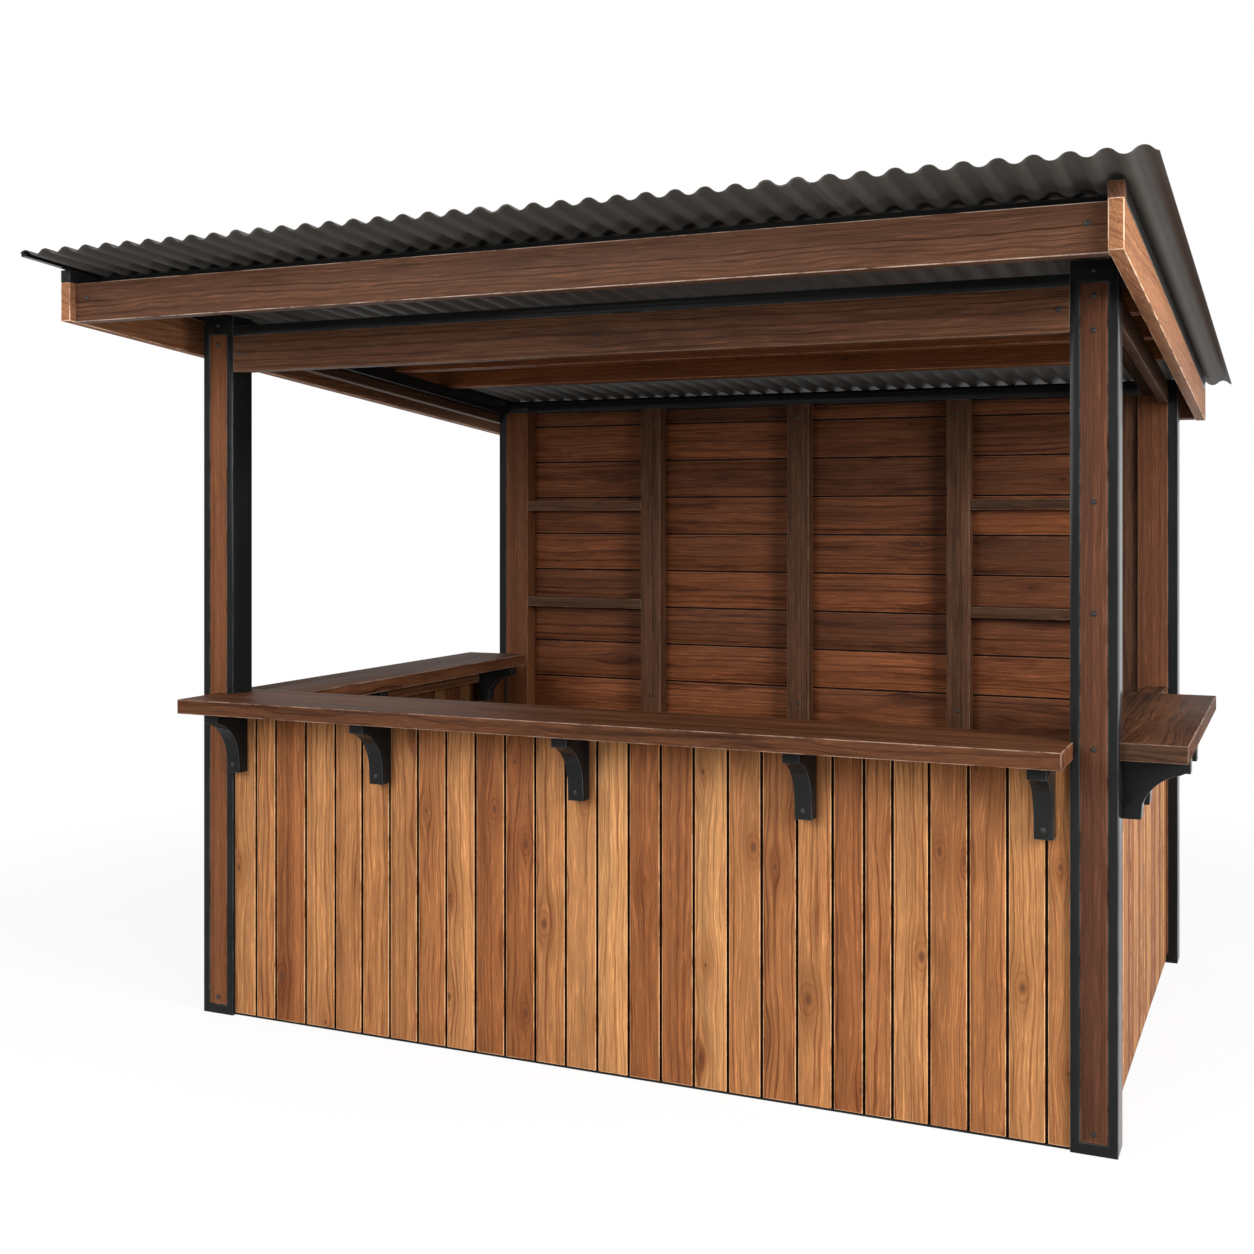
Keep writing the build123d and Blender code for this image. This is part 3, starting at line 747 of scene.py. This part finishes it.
# %% [markdown]
# ## Counters, beams and posts
# The counters are three planks each, laid lengthways and closed up tight. Two of them are
# notched round the front posts, which boxes would lose, so the copy of each solid is
# sliced along its length and every plank is eased on its own. The seams then show as
# fine V grooves. The front end of the right counter has a thin dark lipping.

# %% Counters
COUNTER_EASE = 0.0025
SEAM_EASE = 0.0005
SEAM_WEAR_AND_HIGHLIGHT = 0.35
PLANKS = 3
BEYOND = 1.0
LIPPING = 0.006
LIPPING_EASE = 0.002


def slice_between(bm, axis, low, high):
    """Keeps what lies between two planes and closes the cut sides."""
    for place, way in ((low, -1.0), (high, 1.0)):
        point, normal = Vector(), Vector()
        point[axis], normal[axis] = place, way
        cut = bmesh.ops.bisect_plane(bm, geom=bm.verts[:] + bm.edges[:] + bm.faces[:],
                                     plane_co=point, plane_no=normal, clear_outer=True)
        rim = [part for part in cut["geom_cut"] if isinstance(part, bmesh.types.BMEdge)]
        if rim:
            bmesh.ops.edgeloop_fill(bm, edges=rim)


def ease_plank(bm, axis, seams):
    """Rounds the corners of a plank, finely at its seams and more where hands reach."""
    def at_seam(edge):
        """Whether an edge runs along a seam."""
        return any(all(abs(vert.co[axis] - seam) < MERGE for vert in edge.verts) for seam in seams)

    _, _, edge_layer, _ = face_layers(bm)
    sharp = sharp_edges(bm)
    outer = [edge for edge in sharp if not at_seam(edge)]
    inner = [edge for edge in sharp if at_seam(edge)]
    # The eased faces take the rubbed colour, as wear and as a painted highlight, less of it at the seams.
    for edges, width, wear_and_highlight in ((outer, COUNTER_EASE, 1.0), (inner, SEAM_EASE, SEAM_WEAR_AND_HIGHLIGHT)):
        for face in bevel(bm, [edge for edge in edges if edge.is_valid], width):
            face[edge_layer] = wear_and_highlight


def planked_counter(name, across, along, cut_back=0.0):
    """A counter as planks side by side, cut back at its front end for a lipping."""
    low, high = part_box(name)
    axis, length = AXES[across], AXES[along]
    width = (high[axis] - low[axis]) / PLANKS
    whole = bmesh.new()
    for index in range(PLANKS):
        bm = solid_copy(name)
        start, end = low[axis] + width * index, low[axis] + width * (index + 1)
        first, last = index == 0, index == PLANKS - 1
        slice_between(bm, axis, start - BEYOND * first, end + BEYOND * last)
        if cut_back:
            slice_between(bm, length, low[length] + cut_back, high[length] + BEYOND)
        set_tones(bm)
        ease_plank(bm, axis, [end] if first else [start] if last else [start, end])
        part = bpy.data.meshes.new("plank")
        bm.to_mesh(part)
        whole.from_mesh(part)
        bm.free()
        bpy.data.meshes.remove(part)
    return finish_piece(whole, f"{name}_planks", timber("counter_timber", along, across),
                        "counter_timber", name)


planked_counter("front_counter", "y", "x")
planked_counter("left_counter", "x", "y")
planked_counter("right_counter", "x", "y", LIPPING)
end_low, end_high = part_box("right_counter")
bm = bmesh.new()
box_between(bm, end_low, (end_high.x, end_low.y + LIPPING, end_high.z))
set_tones(bm, [1.0])
ease(bm, LIPPING_EASE)
finish_piece(bm, "right_counter_lipping", timber("dark_timber", "x", "z"), "counter_timber")
print("3 counters of", PLANKS, "planks")

# %% [markdown]
# The posts, beams, studs, shelves, roof timbers and steel parts already have their true
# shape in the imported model. They could be modelled again here, but an eased copy can't
# drift from the solid, so only the corners and the finish are new. The table says which
# way the grain runs: along the part, with its wide face across. Three timbers have a
# chosen tone, because the photograph shows them lighter or darker than their neighbours.

# %% Posts, beams and frame
TIMBER_EASE = 0.0025
STEEL_EASE = 0.0012
TIMBER_PARTS = (
    ("dark_timber", "x", "z", "front_beam"),
    ("fascia_timber", "x", "z", "front_fascia back_fascia"),
    ("purlin_timber", "x", "z", "purlins"),
    ("dark_timber", "x", "y", "shelves_left shelves_right"),
    ("dark_timber", "y", "z", "side_plank_left side_plank_right"),
    ("dark_timber", "z", "x", "back_stud_left back_stud_middle back_stud_right back_stud_corner"),
    ("barge_timber", "y", "z", "barge_board_left barge_board_right"),
    ("post_timber", "z", "x", "post_front_left_timber post_front_right_timber"),
    ("post_timber", "z", "x", "post_back_left_timber post_back_right_timber"),
)
STEEL_PARTS = (
    "post_front_left_steel", "post_front_right_steel", "post_back_left_steel", "post_back_right_steel",
    "front_brackets", "right_brackets", "left_brackets", "side_beam_left", "side_beam_right",
    "front_top_rail", "back_top_rail", "side_battens", "eaves_battens",
)
CHOSEN_TONES = {"post_front_left_timber": [0.0], "post_front_right_timber": [1.0], "front_beam": [0.25]}
for finish, along, across, names in TIMBER_PARTS:
    slot = "dark_timber" if finish in ("fascia_timber", "purlin_timber") else finish
    for name in names.split():
        eased(name, timber(finish, along, across), slot, TIMBER_EASE, CHOSEN_TONES.get(name))
for name in STEEL_PARTS:
    eased(name, BLACK_STEEL, "black_steel", STEEL_EASE)
for name, along in (("front_wall_rails", "x"), ("left_wall_rails", "y"), ("right_wall_rails", "y")):
    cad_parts[name].data.materials[0] = timber("dark_timber", along, "z")
print(sum(len(row[3].split()) for row in TIMBER_PARTS), "timber and", len(STEEL_PARTS), "steel parts eased")

# %% [markdown]
# ## The roof
# Four lapped sheets of corrugated steel. A copy of a packed sheet is long thin triangles,
# and even faces shade more smoothly, so each sheet is a fine grid bent into the same arcs
# and laid down the fall, then given the thickness of the steel. Every other sheet is
# lifted by a little more than that thickness, and its neighbours lie under its edges.

# %% Corrugated sheets
SHEETS = 4
HALF_WAVES = 23
LAPPED = 3
LIP = 0.35
STEPS_PER_HALF = 8
LIP_STEPS = 3
ROWS = 16
WAVE_DEPTH = 0.018
SHEET = 0.0015
AMPLITUDE = (WAVE_DEPTH - SHEET) / 2
FALL = 0.077
roof_low, front_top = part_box("roof_sheet_1")
_, roof_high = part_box("roof_sheet_4")
HALF_WAVE = (roof_high.x - roof_low.x) / (SHEETS * (HALF_WAVES - LAPPED) + LAPPED + LIP)
ROOF_RUN = roof_high.y - roof_low.y
FRONT_UNDERSIDE = front_top.z - WAVE_DEPTH
ARC_HALF_ANGLE = 2 * atan(2 * AMPLITUDE / HALF_WAVE)
ARC_RADIUS = HALF_WAVE / (2 * sin(ARC_HALF_ANGLE))
LAP_LIFT = SHEET / cos(ARC_HALF_ANGLE)


def roof_underside(y):
    """Height of the roof plane under the sheets."""
    return FRONT_UNDERSIDE - FALL * (y - roof_low.y)


def wave_rise(along):
    """Height of the sheet's middle over its mid line, in arcs of one half wave each."""
    index = int(along)
    across = (along - index - 0.5) * HALF_WAVE
    rise = sqrt(ARC_RADIUS ** 2 - across ** 2) - ARC_RADIUS * cos(ARC_HALF_ANGLE)
    return -rise if index % 2 else rise


def roof_sheet(index):
    """One sheet: a grid bent to the wave, then thickened."""
    left = roof_low.x + index * (HALF_WAVES - LAPPED) * HALF_WAVE
    lift = LAP_LIFT if index % 2 else 0.0
    bm = bmesh.new()
    columns = HALF_WAVES * STEPS_PER_HALF + LIP_STEPS
    bmesh.ops.create_grid(bm, x_segments=columns, y_segments=ROWS, size=0.5)
    for vert in bm.verts:
        step = round((vert.co.x + 0.5) * columns)
        along = min(step / STEPS_PER_HALF, HALF_WAVES + LIP)
        y = roof_low.y + (vert.co.y + 0.5) * ROOF_RUN
        middle = roof_underside(y) + WAVE_DEPTH / 2 + wave_rise(along) + lift
        vert.co = (left + along * HALF_WAVE, y, middle)
    bmesh.ops.recalc_face_normals(bm, faces=bm.faces[:])
    bmesh.ops.solidify(bm, geom=bm.faces[:], thickness=SHEET)
    bmesh.ops.translate(bm, vec=(0, 0, SHEET / 2), verts=bm.verts[:])
    for vert in bm.verts:
        vert.co.y = min(max(vert.co.y, roof_low.y), roof_high.y)
    return finish_piece(bm, f"corrugated_sheet_{index + 1}", ROOF_STEEL, "roof_steel",
                        f"roof_sheet_{index + 1}")


for index in range(SHEETS):
    roof_sheet(index)
print(SHEETS, "sheets, half wave", round(HALF_WAVE * 1000, 1), "mm")

# %% [markdown]
# ## Fasteners
# Domed bolts hold the bracket feet, the post timbers, the beam and the fascia, and plugs
# fill the screw holes of the studs. Each is a low dome, 11 to 12 mm across, on a thin
# washer, and half a ball would stand too proud of the timber. So a head is its own half
# outline spun about its axis, with a few dozen faces, and every bolt is a copy of it.

# %% Heads of bolts, plugs and screws
HEAD_SIDES = 12


def domed_head(radius, height, washer):
    """A low domed head on a washer, its back on the ground and its dome upwards."""
    outline = ((radius * 1.25, 0.0), (radius * 1.25, washer), (radius, washer),
               (radius * 0.88, height * 0.62), (radius * 0.5, height * 0.94), (0.0, height))
    bm = bmesh.new()
    points = [bm.verts.new((out, 0.0, rise)) for out, rise in outline]
    lines = [bm.edges.new(pair) for pair in zip(points, points[1:])]
    bmesh.ops.spin(bm, geom=points + lines, cent=(0, 0, 0), axis=(0, 0, 1), angle=2 * pi,
                   steps=HEAD_SIDES, use_merge=True)
    bmesh.ops.remove_doubles(bm, verts=bm.verts[:], dist=MERGE)
    bmesh.ops.holes_fill(bm, edges=[edge for edge in bm.edges if edge.is_boundary], sides=HEAD_SIDES)
    bmesh.ops.recalc_face_normals(bm, faces=bm.faces[:])
    head = bpy.data.meshes.new("head")
    bm.to_mesh(head)
    bm.free()
    return head


def set_heads(name, head, places, facing, slot):
    """Copies of one head with their backs on a list of places, as one piece."""
    turn = Vector((0, 0, 1)).rotation_difference(Vector(facing)).to_matrix()
    bm = bmesh.new()
    for place in places:
        bm.from_mesh(head)
        added = bm.verts[-len(head.vertices):]
        bmesh.ops.rotate(bm, verts=added, cent=(0, 0, 0), matrix=turn)
        bmesh.ops.translate(bm, verts=added, vec=place)
    return finish_piece(bm, name, BOLT_STEEL, slot)


BOLT_HEAD = domed_head(0.0062, 0.0042, 0.0012)
PLUG_HEAD = domed_head(0.0055, 0.0020, 0.0004)
SCREW_HEAD = domed_head(0.0060, 0.0050, 0.0018)
print("a head has", len(BOLT_HEAD.polygons), "faces")

# %% [markdown]
# The places of the bolts and plugs were measured in the photograph. They are given as a
# carpenter would give them, in millimetres from the outer face of the left posts, from
# the front face of the front posts, and from the ground.

# %% Bolts and plugs
STALL_X = -1.478
STALL_Y = -0.910


def in_stall(x, y, z):
    """A place given in millimetres from the left post's face, the front posts' face and the ground."""
    return Vector((x / 1000 + STALL_X, y / 1000 + STALL_Y, z / 1000))


FORWARD = (0, -1, 0)
BRACKET_FACE = -34.6
BRACKET_MIDDLES = (147, 701, 1396, 2096, 2745)
BOLTS = [(2867, 0, height) for height in (55, 1049, 1400, 1689, 2133, 2222, 2288)]
BOLTS += [(60, 0, height) for height in (55, 2222, 2288)]
BOLTS += [(x, 0, 2192) for x in (148, 2779)]
BOLTS += [(x, -477, 2323) for x in (-55, 2912)]
BOLTS += [(x, BRACKET_FACE, 838) for x in BRACKET_MIDDLES]
PLUGS = [(x, 1900, height) for x in (810, 1463.5, 2117) for height in (890, 2054)]
set_heads("front_bolts", BOLT_HEAD, [in_stall(*spot) for spot in BOLTS], FORWARD, "black_steel")
set_heads("stud_plugs", PLUG_HEAD, [in_stall(*spot) for spot in PLUGS], FORWARD, "black_steel")
print(len(BOLTS), "bolts,", len(PLUGS), "plugs")

# %% [markdown]
# The roof sheets are screwed down through their crests, into the battens and purlins
# below. A screw through a valley would leak, so each one sits on a crest, every third
# one, on a rubber washer. Where two sheets lap it stands on the upper one, and it is sunk
# a hair so that no gap shows under it.

# %% Roof screws
SCREW_LINES = (-362, 622, 1022, 1422, 2330)
CRESTS = range(0, 83, 6)
SCREW_SINK = 0.0004
STEP = HALF_WAVES - LAPPED


def screw_place(line, crest):
    """The top of a crest on one of the lines of screws."""
    sheet = min(crest // STEP, SHEETS - 1)
    lapped = crest % STEP < LAPPED and sheet > 0
    lift = LAP_LIFT if sheet % 2 or lapped else 0.0
    y = line / 1000 + STALL_Y
    top = roof_underside(y) + WAVE_DEPTH + lift - SCREW_SINK
    return Vector((roof_low.x + (crest + 0.5) * HALF_WAVE, y, top))


screw_places = [screw_place(line, crest) for line in SCREW_LINES for crest in CRESTS]
set_heads("roof_screws", SCREW_HEAD, screw_places, (0, FALL, 1), "roof_steel")
print(len(screw_places), "roof screws")

# %% [markdown]
# ## Trim
# The boards of the low walls stop just above the ground, on a dark sole strip that lies a
# little behind their faces. Without it, light would pass under the walls. Its black coat is
# painted shade: it stands in for the dark shadow line under the boards, which the floor,
# white to the camera, keeps pale.

# %% Shadow soles
SHADOW_SOLE_BOTTOM = 0.001
SHADOW_SOLE_TOP = 0.0078
INSET = 0.003
for side, inset in (("front", (0, INSET)), ("left", (INSET, 0)), ("right", (INSET, 0))):
    low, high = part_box(f"{side}_wall")
    bm = bmesh.new()
    box_between(bm, (low.x + inset[0], low.y + inset[1], SHADOW_SOLE_BOTTOM),
                (high.x - inset[0], high.y - inset[1], SHADOW_SOLE_TOP))
    face_layers(bm)
    # The black strip is painted shade under the boards.
    finish_piece(bm, f"{side}_shadow_sole", BLACK_STEEL, "black_steel")
print("3 soles,", round((SHADOW_SOLE_TOP - SHADOW_SOLE_BOTTOM) * 1000, 1), "mm high")

# %% [markdown]
# Two strips follow the fall of the roof: a timber block on the front end of the right
# side batten, where the left one has bare steel, and a strip that closes the roof on the
# left batten. A turned box would have slanting ends, so each is an upright box whose top
# and bottom are moved to the slope.

# %% Block and strip under the roof
BLOCK_RUN = 0.040
BLOCK_DEPTH = 0.038
BLOCK_PROUD = 0.0005
BLOCK_FORWARD = 0.001
BLOCK_RISE = 0.0002
BLOCK_EASE = 0.0015
STRIP_OUTER = 0.0005
STRIP_INNER = 0.019
STRIP_BASE = 0.0001
STRIP_RISE = 0.008
STRIP_END = 0.004


def sloping_box(bm, low, high, below, above):
    """A box in plan whose bottom and top lie so far from the underside of the roof."""
    for vert in box_between(bm, (*low, 0), (*high, 1)):
        vert.co.z = roof_underside(vert.co.y) + (above if vert.co.z > 0.5 else below)


barge_low, barge_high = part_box("barge_board_right")
block_front = barge_low.y - BLOCK_FORWARD
bm = bmesh.new()
sloping_box(bm, (barge_low.x - BLOCK_PROUD, block_front),
            (barge_high.x + BLOCK_PROUD, block_front + BLOCK_RUN), -BLOCK_DEPTH, BLOCK_RISE)
set_tones(bm, [0.4])
ease(bm, BLOCK_EASE)
finish_piece(bm, "batten_end_block", timber("dark_timber", "y", "x"), "dark_timber")
bm = bmesh.new()
sloping_box(bm, (roof_low.x + STRIP_OUTER, roof_low.y + STRIP_END),
            (roof_low.x + STRIP_INNER, roof_high.y - STRIP_END), STRIP_BASE, STRIP_RISE)
face_layers(bm)
finish_piece(bm, "left_closure_strip", BLACK_STEEL, "black_steel")
print("block", BLOCK_RUN * 1000, "mm long, strip", STRIP_RISE * 1000, "mm high")

# %% [markdown]
# Behind their counters the side walls would show the sawn ends of the boards. What covers
# them hardly shows in the photograph, so a thin timber cap, a maker's usual way, stands in.

# %% Wall caps
CAP = 0.016
CAP_LIP = 0.0015
CAP_GAP = 0.001
CAP_EASE = 0.001
for side in ("left", "right"):
    low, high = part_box(f"{side}_wall")
    counter_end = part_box(f"{side}_counter")[1].y
    bm = bmesh.new()
    box_between(bm, (low.x - CAP_LIP, counter_end + CAP_GAP, high.z - CAP),
                (high.x + CAP_LIP, high.y, high.z + CAP_LIP))
    set_tones(bm, [0.6])
    ease(bm, CAP_EASE)
    finish_piece(bm, f"{side}_wall_cap", timber("dark_timber", "y", "x"), "dark_timber")
print("2 wall caps,", CAP * 1000, "mm deep")

# %% [markdown]
# ## Floor and light
# The photograph was lit like a catalogue picture: a soft even light from the front, more
# of it from the right, on white. Brighter lamps would whiten the floor but bleach the
# stall, so the floor is white to the camera and still takes the shadow, and it fades out
# before its rim so that no horizon shows.

# %% Floor
FLOOR_RADIUS = 4.8
FLOOR_DROP = 0.0005
FADE_START, FADE_END = 2.6, 4.6
FLOOR_WHITE = 0.86


def floor_material():
    """White to the camera, with the shadow kept, and clear towards the rim."""
    material = bpy.data.materials.new("studio_floor")
    material.use_nodes = True
    tree = material.node_tree
    tree.nodes.remove(tree.nodes["Principled BSDF"])
    path = node(tree, "ShaderNodeLightPath").outputs
    grain = node(tree, "ShaderNodeTexNoise", {"Scale": 3.0, "Detail": 2.0}).outputs[0]
    white = blend(tree, grain, (0.86, 0.86, 0.86, 1), (0.88, 0.88, 0.88, 1))
    matt = node(tree, "ShaderNodeBsdfDiffuse", {"Color": white}).outputs[0]
    glow = node(tree, "ShaderNodeEmission", {"Color": (1, 1, 1, 1), "Strength": 1.0}).outputs[0]
    seen = maths(tree, "MULTIPLY", path["Is Camera Ray"], FLOOR_WHITE)
    pale = node(tree, "ShaderNodeMixShader", {0: seen, 1: matt, 2: glow}).outputs[0]
    place = node(tree, "ShaderNodeTexCoord").outputs["Object"]
    far = node(tree, "ShaderNodeVectorMath", {0: place}, operation="LENGTH").outputs["Value"]
    clear = node(tree, "ShaderNodeBsdfTransparent").outputs[0]
    rim = smooth_step(tree, far, FADE_START, FADE_END)
    faded = node(tree, "ShaderNodeMixShader", {0: rim, 1: pale, 2: clear}).outputs[0]
    tree.links.new(faded, tree.nodes["Material Output"].inputs["Surface"])
    return material


def stage_floor():
    """A flat round floor just under the feet."""
    bm = bmesh.new()
    bmesh.ops.create_circle(bm, cap_ends=True, radius=FLOOR_RADIUS, segments=96)
    bmesh.ops.translate(bm, vec=(0, 0, -FLOOR_DROP), verts=bm.verts[:])
    mesh = bpy.data.meshes.new("floor")
    bm.to_mesh(mesh)
    bm.free()
    mesh.materials.append(floor_material())
    floor = bpy.data.objects.new("floor", mesh)
    bpy.context.scene.collection.objects.link(floor)


stage_floor()
print("floor", FLOOR_RADIUS * 2, "m across")

# %% [markdown]
# A white room gives the even light. Its strength on the stall is lower than what the
# camera and the steel see of it, so that the colours stay as written while the steel
# still mirrors white. Two large soft boxes add the light from the front and the right;
# small lamps would cut hard shadows that the photograph doesn't have.

# %% World and lamps
ROOM_LIGHT = 0.55
MIDDLE = (0.0, 0.0, 1.0)


def light_world(strength):
    """A white room: an even light, and plain white to the camera and to reflections."""
    world = bpy.data.worlds.new("studio")
    bpy.context.scene.world = world
    world.use_nodes = True
    tree = world.node_tree
    even = tree.nodes["Background"]
    even.inputs["Color"].default_value = (1, 1, 1, 1)
    even.inputs["Strength"].default_value = strength
    white = node(tree, "ShaderNodeBackground", {"Color": (1, 1, 1, 1), "Strength": 1.0}).outputs[0]
    path = node(tree, "ShaderNodeLightPath").outputs
    seen = maths(tree, "MAXIMUM", path["Is Camera Ray"], path["Is Glossy Ray"])
    mixed = node(tree, "ShaderNodeMixShader", {0: seen, 1: even.outputs[0], 2: white}).outputs[0]
    tree.links.new(mixed, tree.nodes["World Output"].inputs["Surface"])


def soft_lamp(name, place, target, size, watts):
    """A square soft box that points at a target."""
    data = bpy.data.lights.new(name, "AREA")
    data.shape = "SQUARE"
    data.size = size
    data.energy = watts
    lamp = bpy.data.objects.new(name, data)
    lamp.location = place
    lamp.rotation_euler = (Vector(target) - Vector(place)).to_track_quat("-Z", "Y").to_euler()
    bpy.context.scene.collection.objects.link(lamp)


light_world(ROOM_LIGHT)
soft_lamp("front_soft_box", (-2.2, -6.5, 3.4), MIDDLE, 3.0, 330)
soft_lamp("right_soft_box", (6.0, -3.0, 3.0), MIDDLE, 2.6, 500)
print("2 soft boxes in a white room, lit at", ROOM_LIGHT)

# %% [markdown]
# ## Close
# The colours are shown as they are, with no film look.

# %% Close
bpy.context.scene.view_settings.view_transform = "Standard"
